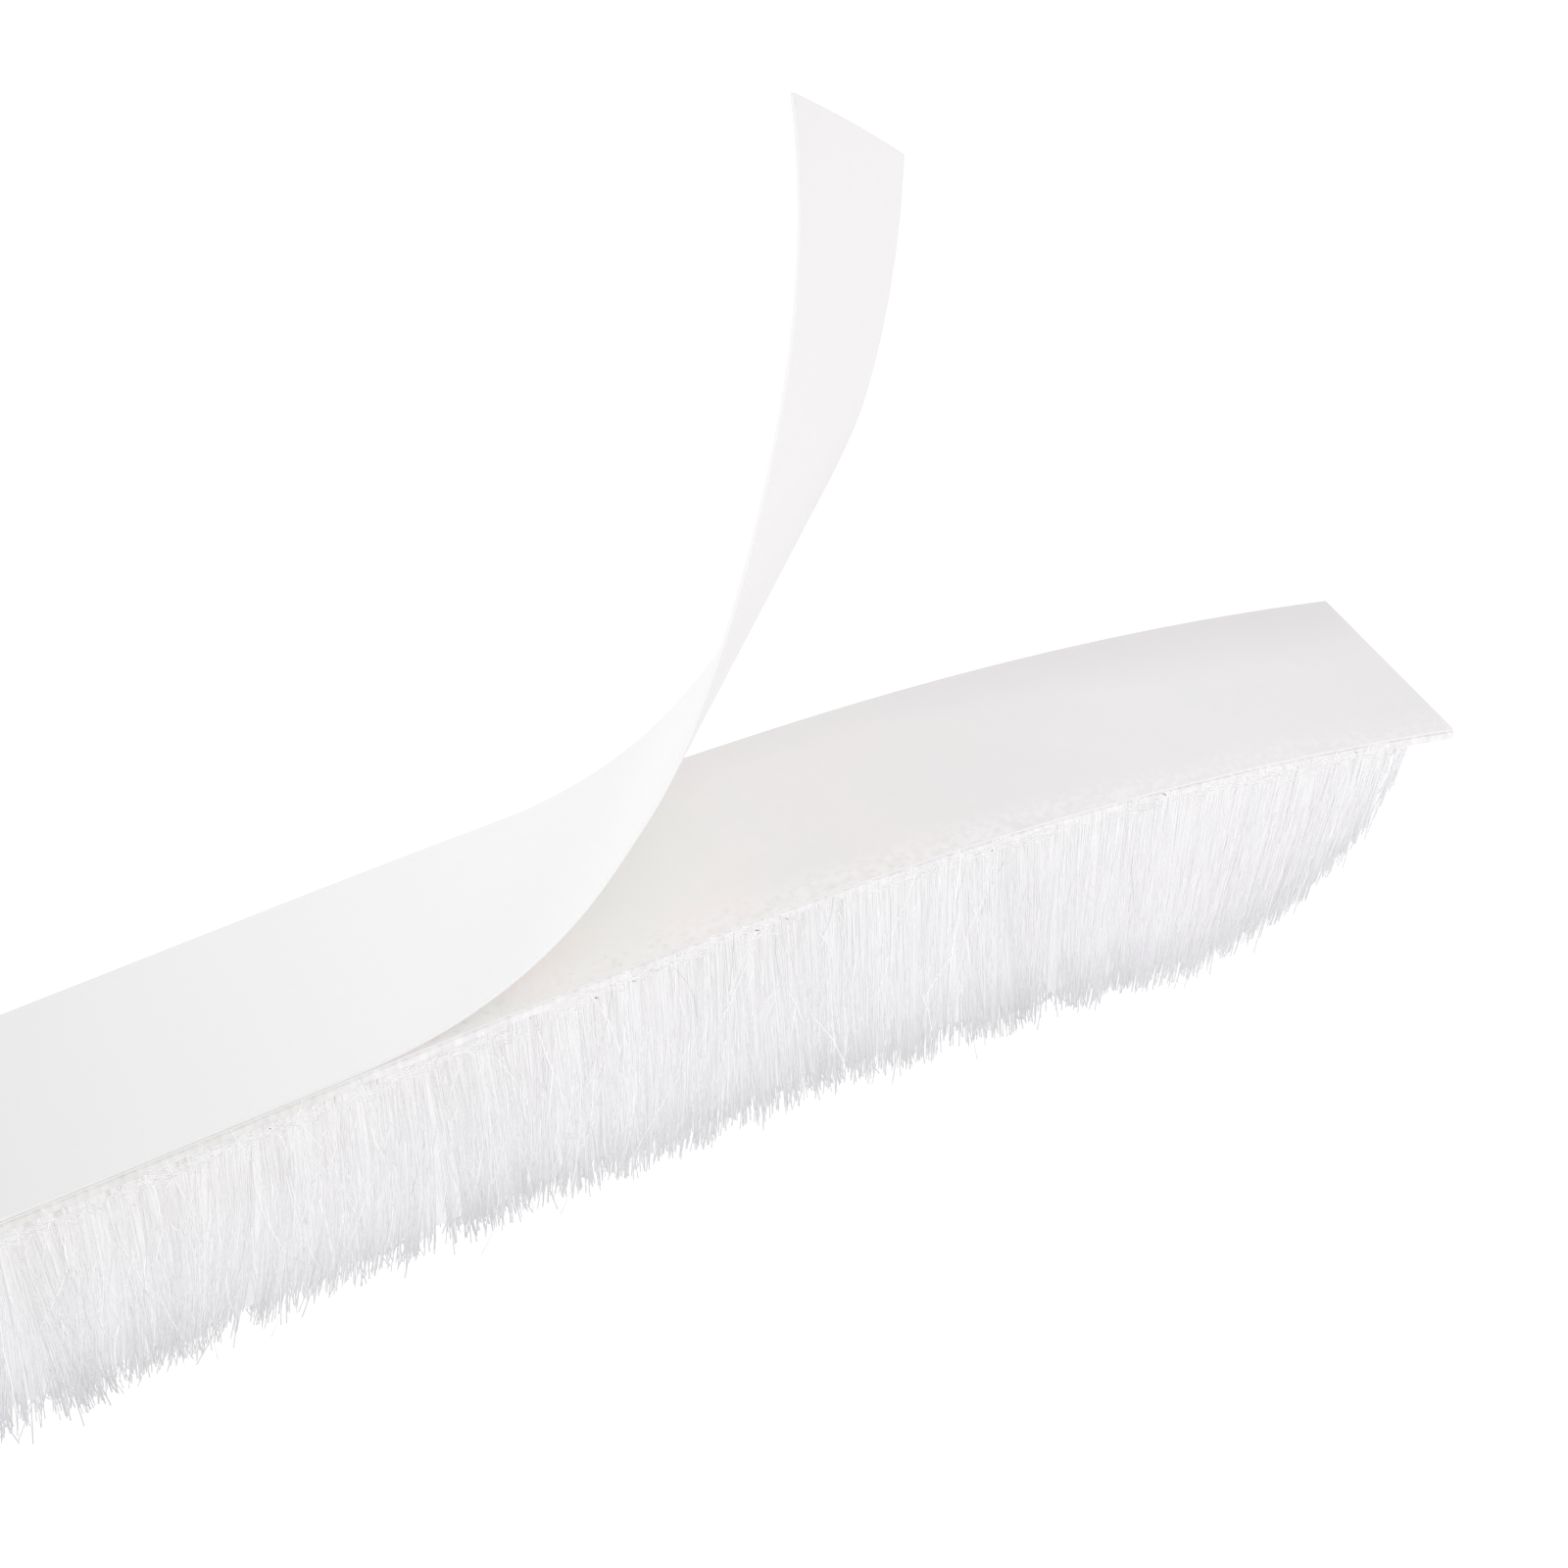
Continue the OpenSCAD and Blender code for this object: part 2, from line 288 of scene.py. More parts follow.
def liner_piece():
    """The liner's solid with its loose triangles joined, its curve rounded and its rim kept sharp."""
    shell = bmesh.new()
    shell.from_mesh(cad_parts["release_liner"].data)
    bmesh.ops.remove_doubles(shell, verts=shell.verts, dist=SAME_PLACE)
    bmesh.ops.join_triangles(
        shell, faces=shell.faces, angle_face_threshold=0.5, angle_shape_threshold=1.5,
        cmp_seam=False, cmp_sharp=False, cmp_uvs=False, cmp_vcols=False, cmp_materials=False,
    )
    crease = shell.edges.layers.float.new("crease_edge")
    for edge in shell.edges:
        if len(edge.link_faces) == 2 and edge.calc_face_angle() > CREASE_ANGLE:
            edge[crease] = 1.0
            edge.smooth = False
    rim = shell.faces.layers.float.new("rim")
    for face in shell.faces:
        face.smooth = True
        creased = sum(edge[crease] > 0 for edge in face.edges)
        face[rim] = creased > 1 and face.calc_area() / face.calc_perimeter() < RIM_BREADTH
    mesh = bpy.data.meshes.new("peeled_liner")
    shell.to_mesh(mesh)
    shell.free()
    piece = bpy.data.objects.new("peeled_liner", mesh)
    bpy.context.scene.collection.objects.link(piece)
    rounding = piece.modifiers.new("rounding", "SUBSURF")
    rounding.levels = 2
    rounding.render_levels = 2
    return piece


liner = liner_piece()
dress(liner, liner_material())
liner.visible_shadow = False  # the thin paper lets light through to the adhesive
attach(liner, "root")
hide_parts("release_liner")

# The pile is made of thousands of straight polypropylene fibres in tufts, woven into the
# backing. Inside it they stand too close to see between, so a ribbed core stands for them.
PILE_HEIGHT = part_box("backing_strip")[0].z
BARE_END = 2.2 * MM
BARE_FLAT_END = 0.3 * MM
END_ROUNDING = 9 * MM
ROOT_HALF = 4.4 * MM
TIP_HALF = 5.0 * MM
TUFT = 1.85 * MM
CORE_SHARE = 0.9
CORE_RECESS = 1.4 * MM
CORE_INSET = 0.3 * MM
BENT_LENGTH = 80 * MM
BACKING_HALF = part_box("backing_strip")[1].y


def side_outline(name):
    """The places of a node's corners in the side view, each once, as rows of x and z."""
    corners = np.array([v.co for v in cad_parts[name].data.vertices])
    return np.unique(np.round(corners[:, [0, 2]], 6), axis=0)


backing_side = side_outline("backing_strip")
adhesive_side = side_outline("adhesive_layer")
apart = np.linalg.norm(backing_side[:, None] - adhesive_side[None], axis=2).min(1)
TOUCHING = 0.003 * MM
seam = backing_side[apart < TOUCHING]
seam = seam[np.argsort(seam[:, 0])]
seam_steps = np.diff(seam, axis=0)
seam_along = np.concatenate([[0], np.cumsum(np.linalg.norm(seam_steps, axis=1))])
step_slopes = np.arctan2(seam_steps[:, 1], seam_steps[:, 0])
mean_slopes = (step_slopes[1:] + step_slopes[:-1]) / 2
seam_slopes = np.concatenate([step_slopes[:1], mean_slopes, step_slopes[-1:]])
STRIP_LENGTH = seam_along[-1]
BACKING_THICKNESS = seam[0, 1] - PILE_HEIGHT
PEEL_SHOWS = STRIP_LENGTH - 34 * MM
PEEL_HIDDEN = PEEL_SHOWS - 12 * MM


def placed(along, across, below):
    """Places on the strip: along it, across it and below the roots, as rows of x, y and z."""
    slope = np.interp(along, seam_along, seam_slopes)
    x = np.interp(along, seam_along, seam[:, 0])
    z = np.interp(along, seam_along, seam[:, 1])
    deep = below + BACKING_THICKNESS
    return np.stack([x + deep * np.sin(slope), across + 0 * x, z - deep * np.cos(slope)], -1)


def bared_share(along):
    """From 0 where the liner still hides the backing's edge to 1 where it has come off."""
    return np.interp(along, [PEEL_HIDDEN, PEEL_SHOWS], [0, 1])


def pile_depth(along):
    """The depth of the tips below the roots, which shortens where the peeled end was cut."""
    past = (along - (STRIP_LENGTH - BARE_END - END_ROUNDING)) / END_ROUNDING
    return PILE_HEIGHT * np.sqrt(np.clip(1 - np.clip(past, 0, 1) ** 2, 0, 1))


def core_material():
    """The pile between the fibres that show, in painted shade: a little darker than they are, darker
    further down, streaked downwards.
    """
    tree, shader = new_material("pile core")
    down = node(tree, "ShaderNodeAttribute", attribute_name="down").outputs["Fac"]
    along = node(tree, "ShaderNodeAttribute", attribute_name="along").outputs["Fac"]
    spread = node(tree, "ShaderNodeCombineXYZ", {
        "X": math_of(tree, "DIVIDE", along, 0.16 * MM), "Y": math_of(tree, "MULTIPLY", down, 3.0),
    }).outputs[0]
    noise = node(tree, "ShaderNodeTexNoise", {"Vector": spread, "Scale": 1.0, "Detail": 2.0})
    streaks = ramp_of(tree, noise.outputs[0], 0.35, 0.65)
    # Painted shade between the fibres, deepening further down the pile.
    body = blend_of(tree, down, (0.87, 0.855, 0.86), (0.80, 0.795, 0.82))
    dark_and_shaded = blend_of(tree, down, (0.84, 0.825, 0.835), (0.76, 0.755, 0.785))
    roots = math_of(
        tree, "MULTIPLY", ramp_of(tree, down, 0.02, 0.06, 1, 0),
        ramp_of(tree, along, PEEL_HIDDEN, PEEL_SHOWS, 1, 0),
    )
    between = blend_of(tree, streaks, dark_and_shaded, body)
    tree.links.new(blend_of(tree, roots, between, (0.74, 0.735, 0.725)), shader.inputs["Base Color"])
    tree.links.new(bump_of(tree, streaks, RELIEF), shader.inputs["Normal"])
    shader.inputs["Roughness"].default_value = 0.6
    return bpy.data.materials["pile core"]


def core_stations():
    """Distances along the strip at which the core has a ring: wide apart where it is straight."""
    bent_from = STRIP_LENGTH - BENT_LENGTH
    wide, narrow = 6 * MM, 1.2 * MM
    plain = np.arange(BARE_FLAT_END + CORE_RECESS, bent_from, wide)
    bent = np.arange(bent_from, STRIP_LENGTH - BARE_END - CORE_RECESS, narrow)
    return np.concatenate([plain, bent])


def pile_core():
    """A grid wrapped round the pile's section, ring by ring, with its ends closed."""
    stations = core_stations()
    around = 16
    wrapped = bmesh.new()
    bmesh.ops.create_grid(wrapped, x_segments=len(stations) - 1, y_segments=around, size=0.5)
    wrapped.verts.ensure_lookup_table()
    flat = np.array([v.co for v in wrapped.verts])
    ring = np.round((flat[:, 1] + 0.5) * around).astype(int) % around
    along = stations[np.round((flat[:, 0] + 0.5) * (len(stations) - 1)).astype(int)]
    turn = 2 * np.pi * ring / around
    square = np.maximum(np.abs(np.cos(turn)), np.abs(np.sin(turn)))
    sideways = np.sin(turn) / square
    down = (1 - np.cos(turn) / square) / 2
    half = ROOT_HALF - CORE_INSET + (TIP_HALF - ROOT_HALF) * down
    below = down * pile_depth(along + CORE_RECESS) * CORE_SHARE
    for vertex, spot in zip(wrapped.verts, placed(along, sideways * half, below)):
        vertex.co = spot
    measures = {"down": down * CORE_SHARE, "along": along}
    for name, values in measures.items():
        layer = wrapped.verts.layers.float.new(name)
        for vertex, value in zip(wrapped.verts, values):
            vertex[layer] = value
    bmesh.ops.remove_doubles(wrapped, verts=wrapped.verts, dist=SAME_PLACE)
    rims = [edge for edge in wrapped.edges if edge.is_boundary]
    bmesh.ops.holes_fill(wrapped, edges=rims, sides=around)
    bmesh.ops.recalc_face_normals(wrapped, faces=wrapped.faces)
    mesh = bpy.data.meshes.new("pile_core")
    wrapped.to_mesh(mesh)
    wrapped.free()
    piece = bpy.data.objects.new("pile_core", mesh)
    bpy.context.scene.collection.objects.link(piece)
    return piece


core = pile_core()
dress(core, core_material())
core.visible_shadow = False  # light passes between the real fibres, and they brighten each other
core.visible_diffuse = False
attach(core, "root")
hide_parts("bristle_pile")

# The fibres that show are grown on seeded root points: tuft by tuft, fanning out to the tips,
# bunched into locks, with a few strays. They stand closer where the photograph looks, and
# more of them, which start inside the pile, close its two ends.
FIBRE = 0.036 * MM
SHOWN = 78 * MM
chance = np.random.default_rng(185)


def unit_fibre(name, bends):
    """One fibre with three sides, 1 tall and 1 in radius at its root, cut across to bend."""
    fibre = bmesh.new()
    bmesh.ops.create_cone(
        fibre, cap_ends=True, cap_tris=False, segments=3, radius1=1, radius2=0.72, depth=1,
        matrix=Matrix.Translation((0, 0, 0.5)),
    )
    for i in range(bends):
        bmesh.ops.bisect_plane(
            fibre, geom=fibre.verts[:] + fibre.edges[:] + fibre.faces[:],
            plane_co=(0, 0, (i + 1) / (bends + 1)), plane_no=(0, 0, 1),
        )
    height = fibre.verts.layers.float.new("height")
    ring = fibre.verts.layers.float_vector.new("ring")
    for vertex in fibre.verts:
        vertex[height] = vertex.co.z
        vertex[ring] = (vertex.co.x, vertex.co.y, 0)
    for face in fibre.faces:
        face.smooth = len(face.verts) > 3
    hidden = [face for face in fibre.faces if face.calc_center_median().z < 0.001]
    bmesh.ops.delete(fibre, geom=hidden, context="FACES_ONLY")
    mesh = bpy.data.meshes.new(name)
    fibre.to_mesh(mesh)
    fibre.free()
    unit = bpy.data.objects.new(name, mesh)
    bpy.context.scene.collection.objects.link(unit)
    return unit


def growing_nodes(unit):
    """Nodes that set a fibre on each root point and bend it towards its tip."""
    tree = bpy.data.node_groups.new("growing fibres", "GeometryNodeTree")
    tree.interface.new_socket("Geometry", in_out="INPUT", socket_type="NodeSocketGeometry")
    tree.interface.new_socket("Geometry", in_out="OUTPUT", socket_type="NodeSocketGeometry")
    roots = tree.nodes.new("NodeGroupInput")
    grown = tree.nodes.new("NodeGroupOutput")

    def stored(name, kind="FLOAT"):
        read = node(tree, "GeometryNodeInputNamedAttribute", {"Name": name}, data_type=kind)
        return read.outputs["Attribute"]

    def scaled(vector, factor):
        inputs = {0: vector, "Scale": factor}
        return node(tree, "ShaderNodeVectorMath", inputs, operation="SCALE").outputs[0]

    def summed(a, b):
        return node(tree, "ShaderNodeVectorMath", {0: a, 1: b}, operation="ADD").outputs[0]

    model = node(tree, "GeometryNodeObjectInfo", {"Object": unit})
    set_down = node(tree, "GeometryNodeInstanceOnPoints", {
        "Points": roots.outputs[0], "Instance": model.outputs["Geometry"],
    })
    real = node(tree, "GeometryNodeRealizeInstances", {0: set_down.outputs[0]})
    height = stored("height")
    reach = stored("reach", "FLOAT_VECTOR")
    facing = node(tree, "FunctionNodeAlignRotationToVector", {"Vector": reach}, axis="Z").outputs[0]
    ring = scaled(stored("ring", "FLOAT_VECTOR"), stored("girth"))
    turning = {"Vector": ring, "Rotation": facing}
    turned_ring = node(tree, "FunctionNodeRotateVector", turning).outputs[0]
    from_tip = math_of(tree, "SUBTRACT", 1.0, height)
    bow = math_of(tree, "MULTIPLY", math_of(tree, "MULTIPLY", height, 4.0), from_tip)
    line = summed(scaled(reach, height), scaled(stored("sag", "FLOAT_VECTOR"), bow))
    place = summed(summed(stored("root", "FLOAT_VECTOR"), line), turned_ring)
    moved = node(tree, "GeometryNodeSetPosition", {"Geometry": real.outputs[0], "Position": place})
    tree.links.new(moved.outputs[0], grown.inputs[0])
    return tree


straight_unit = unit_fibre("straight_fibre", 0)
bent_unit = unit_fibre("bent_fibre", 2)
growing = {unit: growing_nodes(unit) for unit in (straight_unit, bent_unit)}


def grow(name, unit, root, tip, sag, girth, tone, begin=0.0):
    """A piece of fibres from their roots to their tips, as one realized mesh."""
    count = len(root)
    points = bpy.data.meshes.new(name + "_roots")
    points.vertices.add(count)
    points.vertices.foreach_set("co", root.ravel())
    for label, values in (("root", root), ("reach", tip - root), ("sag", sag)):
        vectors = points.attributes.new(label, "FLOAT_VECTOR", "POINT").data
        vectors.foreach_set("vector", values.ravel())
    for label, values in (("girth", girth), ("tone", tone)):
        numbers = points.attributes.new(label, "FLOAT", "POINT").data
        numbers.foreach_set("value", np.broadcast_to(values, count).copy())
    piece = bpy.data.objects.new(name, points)
    bpy.context.scene.collection.objects.link(piece)
    piece.modifiers.new("growing", "NODES").node_group = growing[unit]
    bpy.context.view_layer.update()
    realized = piece.evaluated_get(bpy.context.evaluated_depsgraph_get())
    mesh = bpy.data.meshes.new_from_object(realized)
    piece.modifiers.clear()
    piece.data = mesh
    mesh.name = name
    bpy.data.meshes.remove(points)
    height = np.empty(len(mesh.vertices))
    mesh.attributes["height"].data.foreach_get("value", height)
    down = mesh.attributes.new("down", "FLOAT", "POINT")
    down.data.foreach_set("value", begin + (1 - begin) * height)
    for label in ("height", "ring", "root", "reach", "sag", "girth"):
        mesh.attributes.remove(mesh.attributes[label])
    piece.visible_shadow = False  # fibres this thin let the light through, as the core does
    piece.visible_diffuse = False
    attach(piece, "root")
    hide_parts("bristle_pile")
    return piece


# How far the tips lean along the strip for each unit of depth, by distance from the peeled end
LEAN_AT = np.array([2, 9, 17, 29, 40, 52, 64, 90, 1000]) * MM
LEAN = np.array([-0.08, -0.086, 0.01, 0.025, -0.06, -0.112, -0.12, 0.0, 0.0])
WAVE = 5 * MM
wave_at = np.arange(0, STRIP_LENGTH + WAVE, WAVE)
wave_lean = chance.normal(0, 0.05, len(wave_at))
lock_edges = np.cumsum(chance.uniform(0.3 * MM, 1.6 * MM, int(STRIP_LENGTH / (0.8 * MM))))
lock_pushed = chance.normal(0, 1, (len(lock_edges) + 1, 4))

# How loosely the fibres stand, by distance from the peeled end, and how far that lets them go
LOOSE_AT = [10 * MM, 60 * MM]
LOOSE = [0.35, 1.2]
OUTERMOST = 0.2 * MM
VALLEY_DEPTH = 0.2 * MM
CREPT_DOWN = 0.35 * MM  # how far adhesive covers the roots, where the liner still lies
LOCK_LEAN = 0.42 * MM
LOCK_DEPTH = 0.25 * MM
FIBRE_LEAN = 0.5 * MM
STRAY_SHARE = 0.07
STRAY_LEAN = 1.8 * MM
STRAY_LONGER = 0.8 * MM
TIP_UNEVEN = 0.45 * MM
TIP_ACROSS = 0.14 * MM
UNDER_SHORTER = 0.35 * MM
SHORTEST = 0.8 * MM


def tufted(count, first, last, side, deepest, begin=0.0):
    """Roots, tips, sags and tones of fibres between two distances along one side of the pile, with
    painted shade and light in the tones.
    """
    along = chance.uniform(first, last, count)
    from_end = STRIP_LENGTH - along
    loose = np.interp(from_end, LOOSE_AT, LOOSE)
    tuft = np.floor(along / TUFT)
    within = along / TUFT - tuft - 0.5
    inward = deepest * chance.beta(1.0, 1.8, count)
    lock = np.clip(np.searchsorted(lock_edges, along), 1, len(lock_edges) - 1)
    pushed = lock_pushed[lock] * loose[:, None]
    width = lock_edges[lock] - lock_edges[lock - 1]
    from_lock = (along - lock_edges[lock - 1]) / width - 0.5
    valley = (2 * from_lock) ** 2
    outer = inward < OUTERMOST
    across = np.where(outer, BACKING_HALF + 0.03 * MM, ROOT_HALF - inward - VALLEY_DEPTH * valley)
    over_edge = (0.34 - 0.1 * side) * MM * chance.random(count) * bared_share(along)
    root_below = np.where(outer, -over_edge, -0.1 * MM) + 0.6 * MM * within ** 2
    root_below += CREPT_DOWN * (1 - bared_share(along))
    root_along = (tuft + 0.5 + within * 0.9) * TUFT
    full_depth = pile_depth(root_along)
    freedom = full_depth / PILE_HEIGHT
    stray = chance.random(count) < STRAY_SHARE
    lean = np.interp(from_end, LEAN_AT, LEAN) + np.interp(along, wave_at, wave_lean)
    shift = LOCK_LEAN * pushed[:, 0] - 0.4 * from_lock * width * loose
    shift += chance.normal(0, FIBRE_LEAN, count) * (0.25 + 0.7 * loose)
    shift += stray * chance.normal(0, STRAY_LEAN, count) * loose
    shift = lean * full_depth + shift * freedom
    shortfall = np.abs(chance.normal(0, TIP_UNEVEN, count)) + VALLEY_DEPTH * valley * loose
    shortfall += UNDER_SHORTER * (begin > 0)
    longer = stray * chance.uniform(0, STRAY_LONGER, count)
    depth = full_depth + LOCK_DEPTH * pushed[:, 1] - (shortfall - longer) * freedom
    depth = np.clip(depth, SHORTEST * freedom, None)
    spread = (TIP_HALF / ROOT_HALF - 1) * across * depth / PILE_HEIGHT
    tip_across = across + spread + TIP_ACROSS * pushed[:, 2] + chance.normal(0, TIP_ACROSS, count)
    tip_along = np.clip(root_along + shift, 0.1 * MM, STRIP_LENGTH - 0.3 * MM)
    root = placed(root_along, side * across, root_below)
    tip = placed(tip_along, side * tip_across, depth)
    tip[:, 2] = np.maximum(tip[:, 2], FIBRE)
    root = root + (tip - root) * begin
    sag = chance.normal(0, 0.03 * MM, (count, 3)) * freedom[:, None]
    sag[:, 0] -= 0.16 * shift
    sag[:, 1] += side * 0.06 * MM
    odd = chance.random(count)
    # Painted shade: deeper fibres and those at the edges of locks are darker. Painted light: fibres
    # that start inside the pile are lighter, since little light reaches them. The rest of the tone
    # differs at random.
    tone = 0.4 + 0.12 * inward / deepest + chance.uniform(-0.12, 0.12, count) * (0.4 + 0.5 * loose)
    tone += (0.3 * valley - 0.1) * loose + 0.16 * pushed[:, 3] - 0.3 * (begin > 0)
    tone += np.where(odd < 0.06 * loose, -0.4, 0) + np.where(odd > 1 - 0.04 * loose, 0.45, 0)
    return root, tip, sag, np.clip(tone, 0, 1)


def bristle_material():
    """White fibres with faint broad tints, painted shade down their middle and painted light at their
    tips. Each has its own tone, which also carries painted shade.
    """
    tree, shader = new_material("white bristles")
    down = node(tree, "ShaderNodeAttribute", attribute_name="down").outputs["Fac"]
    tone = node(tree, "ShaderNodeAttribute", attribute_name="tone").outputs["Fac"]
    place = object_place(tree)
    along = node(tree, "ShaderNodeSeparateXYZ", {0: place}).outputs["X"]
    cool = ramp_of(tree, along, BARED_FROM - 20 * MM, BARED_FROM + 30 * MM)
    tint = group_of(tree, mottle, {"Place": place, "Per metre": 420})
    warm_root = blend_of(tree, tint, (0.895, 0.86, 0.87), (0.875, 0.875, 0.87))
    root = blend_of(tree, cool, warm_root, (0.905, 0.905, 0.915))
    # Painted shade: the fibres grey and cool down their middle.
    middle = blend_of(tree, ramp_of(tree, down, 0, 0.6), root, (0.87, 0.862, 0.885))
    # Painted light: their tips are lighter again, low in the pile where less light reaches them.
    bright = blend_of(tree, ramp_of(tree, down, 0.75, 1), middle, (0.94, 0.93, 0.955))
    # The colour for a tone of 1: painted shade for deep fibres and those between locks, and the few
    # dark fibres.
    dark_and_shaded = blend_of(tree, down, (0.78, 0.76, 0.77), (0.77, 0.76, 0.79))
    tree.links.new(blend_of(tree, tone, bright, dark_and_shaded), shader.inputs["Base Color"])
    shader.inputs["Roughness"].default_value = 0.42
    shader.inputs["Specular IOR Level"].default_value = 0.4
    return bpy.data.materials["white bristles"]


white_bristles = bristle_material()
peel_first = STRIP_LENGTH - SHOWN
peel_last = STRIP_LENGTH - BARE_END
flat_first = BARE_FLAT_END
NEAR, FAR = -1, 1
OUTER_LAYER = 1.6 * MM
OUTER_LAYER_REST = 1.2 * MM
THROUGH = 2 * ROOT_HALF
REST_FIBRE = 1.3 * FIBRE


def bristles(name, unit, count, first, last, side, deepest, girth, begin=0.0):
    """A piece of fibres on one side of the pile, between two distances along the strip."""
    root, tip, sag, tone = tufted(count, first, last, side, deepest, begin)
    piece = grow(name, unit, root, tip, sag, girth * chance.uniform(0.7, 1.1, count), tone, begin)
    dress(piece, white_bristles)


bristles("bristles_near", bent_unit, 9500, peel_first, peel_last, NEAR, OUTER_LAYER, FIBRE)
bristles("bristles_far", bent_unit, 6000, peel_first, peel_last, FAR, OUTER_LAYER, FIBRE)
bristles(
    "bristles_under", straight_unit, 12000, peel_first, peel_last,
    NEAR, THROUGH, FIBRE, begin=0.5,
)
for side, place in ((NEAR, "near"), (FAR, "far")):
    bristles(
        f"bristles_{place}_rest", straight_unit, 18000, flat_first, peel_first,
        side, OUTER_LAYER_REST, REST_FIBRE,
    )
bristles(
    "bristles_under_rest", straight_unit, 12000, flat_first, peel_first,
    NEAR, THROUGH, REST_FIBRE, begin=0.6,
)
rounded_from = peel_last - END_ROUNDING
flat_last = flat_first + CORE_RECESS
for side, place in ((NEAR, "near"), (FAR, "far")):
    bristles(
        f"peeled_end_{place}", straight_unit, 3000, rounded_from, peel_last,
        side, THROUGH, FIBRE, begin=0.3,
    )
    bristles(f"flat_end_{place}", straight_unit, 1800, flat_first, flat_last, side, THROUGH, FIBRE)

# Loose ends of the yarn lie in small bunches over the roots, along the near edge that the
# photograph shows. They are thin and bright, and a few bits of dark lint are caught in them.
YARN = 0.022 * MM


def yarn_ends(name, bunches, each, first, last, longest, tone):
    """Bunches of loose ends, one piece, each end curving a little along the edge."""
    middle = np.repeat(chance.uniform(first, last, bunches), each)
    heading = np.repeat(np.where(chance.random(bunches) < 0.5, -1, 1), each)
    count = len(middle)
    length = longest * chance.beta(1.5, 3, count) + 0.08 * MM
    begin = middle + chance.normal(0, 0.3 * MM, count)
    below = chance.normal(-0.02 * MM, 0.13 * MM, count) + CREPT_DOWN * (1 - bared_share(begin))
    tilt = chance.normal(0.06, 0.25, count)
    finish = np.clip(begin + heading * length * np.cos(tilt), 0, STRIP_LENGTH)
    finish_below = np.clip(below + length * np.sin(tilt), -BACKING_THICKNESS, None)
    across = BACKING_HALF + chance.uniform(0.02 * MM, 0.1 * MM, count)
    root = placed(begin, -across, below)
    tip = placed(finish, -across - chance.uniform(0, 0.1 * MM, count), finish_below)
    sag = 0.05 * length[:, None] * chance.normal(0, 1, (count, 3))
    piece = grow(name, bent_unit, root, tip, sag, YARN * chance.uniform(0.7, 1.3, count), tone)
    dress(piece, yarn_material)


def yarn_end_material():
    """Bright yarn where the tone is 0, and dark lint where it is 1."""
    tree, shader = new_material("loose yarn")
    tone = node(tree, "ShaderNodeAttribute", attribute_name="tone").outputs["Fac"]
    colour = blend_of(tree, tone, (0.95, 0.935, 0.94), (0.2, 0.19, 0.19))
    tree.links.new(colour, shader.inputs["Base Color"])
    shader.inputs["Roughness"].default_value = 0.4
    return bpy.data.materials["loose yarn"]


yarn_material = yarn_end_material()
LONGEST_END = 2.4 * MM
LONGEST_LINT = 0.12 * MM
yarn_ends("yarn_ends", 110, 7, peel_first, peel_last, LONGEST_END, tone=0.0)
yarn_ends("yarn_ends_rest", 500, 2, flat_first, peel_first, LONGEST_END, tone=0.0)
yarn_ends("lint", 16, 1, peel_first, peel_last, LONGEST_LINT, tone=1.0)


def stray_hairs(name, count, first, last, lowest, thickness, tone):
    """Single hairs that lie slantwise over the near side of the pile, some over the edge."""
    begin = chance.uniform(first, last, count)
    below = chance.uniform(-0.6 * MM, lowest, count)
    length = chance.uniform(1.5 * MM, 4.5 * MM, count)
    slant = chance.normal(-0.15, 0.22, count)
    across = BACKING_HALF + 0.12 * MM + 0.06 * below
    root = placed(begin, -across, below)
    finish = np.clip(begin + length * np.sin(slant), 0, STRIP_LENGTH)
    tip = placed(finish, -across - 0.07 * length, below + length * np.cos(slant))
    tip[:, 2] = np.maximum(tip[:, 2], FIBRE)
    sag = 0.06 * length[:, None] * chance.normal(0, 1, (count, 3))
    piece = grow(name, bent_unit, root, tip, sag, thickness * chance.uniform(0.5, 1.0, count), tone)
    dress(piece, yarn_material)


stray_hairs(
    "dark_hairs", 20, STRIP_LENGTH - 45 * MM, peel_last - 5 * MM,
    lowest=4 * MM, thickness=0.02 * MM, tone=0.4,
)
stray_hairs(
    "bright_hairs", 320, peel_first, STRIP_LENGTH - 20 * MM,
    lowest=6 * MM, thickness=0.034 * MM, tone=0.0,
)
for unit in (straight_unit, bent_unit):
    bpy.data.objects.remove(unit)

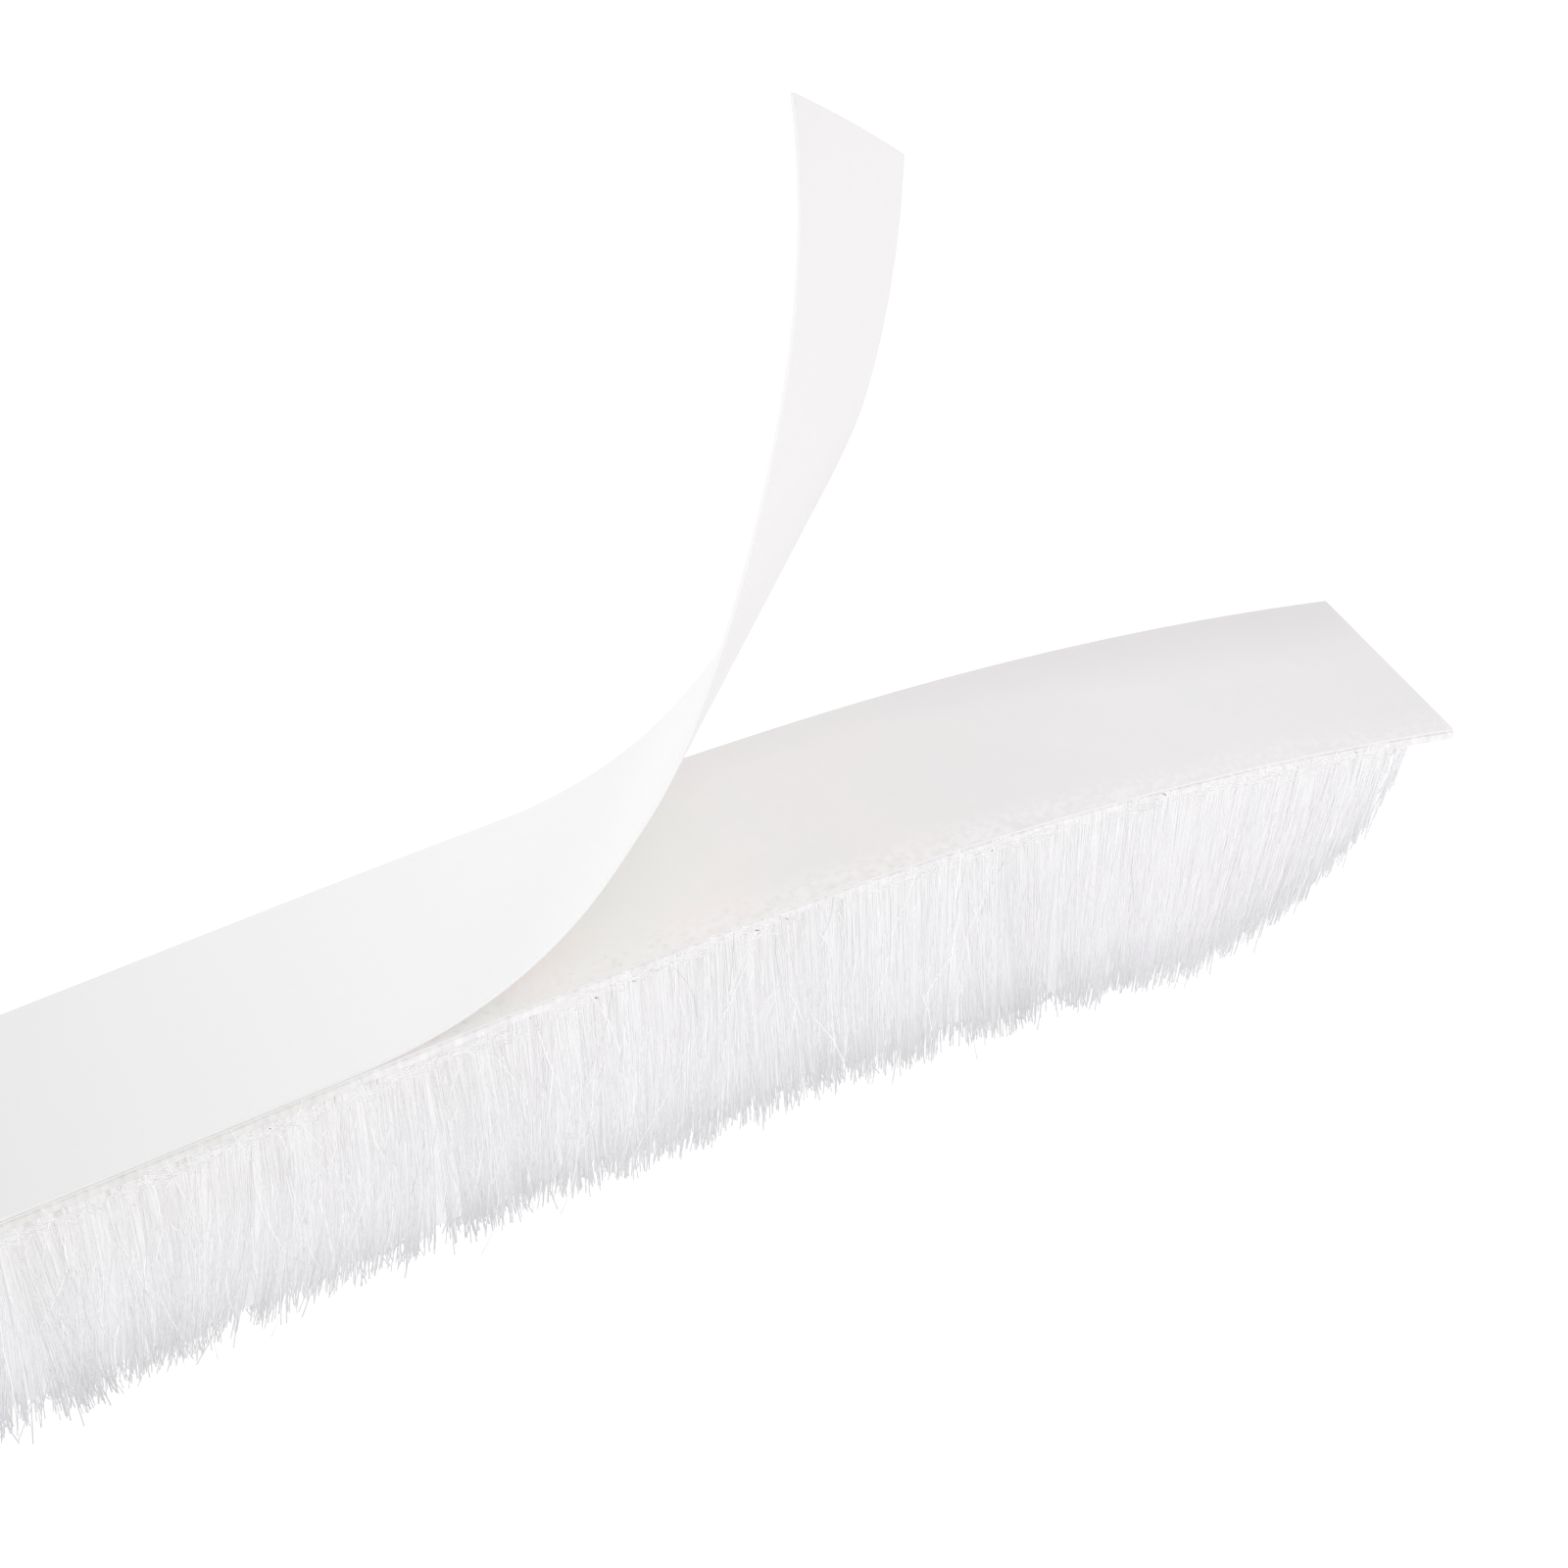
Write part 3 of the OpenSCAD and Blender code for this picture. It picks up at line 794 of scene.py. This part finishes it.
# The stage is a white floor that keeps a faint shadow, under soft even light: a white sky, a
# broad lamp far off on the left, a small one close by on the right and a low one in front.
world = bpy.data.worlds.new("white studio")
bpy.context.scene.world = world
world.use_nodes = True
seen_level = 1.0
sky_level = 0.80
sky = world.node_tree
background = sky.nodes["Background"]
rays = sky.nodes.new("ShaderNodeLightPath")
seen = math_of(sky, "MAXIMUM", rays.outputs["Is Camera Ray"], rays.outputs["Is Transmission Ray"])
level = math_of(sky, "ADD", sky_level, math_of(sky, "MULTIPLY", seen, seen_level - sky_level))
background.inputs["Color"].default_value = (1, 1, 1, 1)
sky.links.new(level, background.inputs["Strength"])


def floor_material():
    """White paper. To the camera it is nearly all plain white, so that its shadow stays faint."""
    tree, shader = new_material("white floor")
    path = tree.nodes.new("ShaderNodeLightPath")
    direct = math_of(tree, "MAXIMUM", path.outputs["Is Camera Ray"], path.outputs["Is Glossy Ray"])
    direct = math_of(tree, "MAXIMUM", direct, path.outputs["Is Transmission Ray"])
    colour = blend_of(tree, direct, (0.92, 0.92, 0.925), (0.3, 0.3, 0.3))
    tree.links.new(colour, shader.inputs["Base Color"])
    shader.inputs["Roughness"].default_value = 1.0
    shader.inputs["Specular IOR Level"].default_value = 0.0
    shader.inputs["Emission Color"].default_value = (1, 1, 1, 1)
    glow = 0.76
    tree.links.new(math_of(tree, "MULTIPLY", direct, glow), shader.inputs["Emission Strength"])
    return bpy.data.materials["white floor"]


floor_mesh = bpy.data.meshes.new("floor")
floor_shape = bmesh.new()
HALF_FLOOR = 4.0
bmesh.ops.create_grid(floor_shape, x_segments=1, y_segments=1, size=HALF_FLOOR)
floor_shape.to_mesh(floor_mesh)
floor_shape.free()
floor = bpy.data.objects.new("floor", floor_mesh)
bpy.context.scene.collection.objects.link(floor)
dress(floor, floor_material())


def lamp(name, place, target, size, level):
    """A square lamp that lights white paper at its target to a level, facing it squarely."""
    data = bpy.data.lights.new(name, "AREA")
    data.size = size
    reach = Vector(target) - Vector(place)
    data.energy = level * np.pi ** 2 * reach.length_squared
    made = bpy.data.objects.new(name, data)
    bpy.context.scene.collection.objects.link(made)
    made.location = place
    made.rotation_euler = reach.to_track_quat("-Z", "Y").to_euler()


peeled_end = (0.46, 0, 0.01)
lamp("left_lamp", (-11.2, -2.0, 3.9), peeled_end, size=4.8, level=0.37)
lamp("right_lamp", (0.62, -0.2, 0.16), peeled_end, size=0.12, level=0.16)
lamp("front_lamp", (0.4, -0.6, 0.04), peeled_end, size=0.3, level=0.16)

view = bpy.context.scene.view_settings
view.view_transform = "Standard"
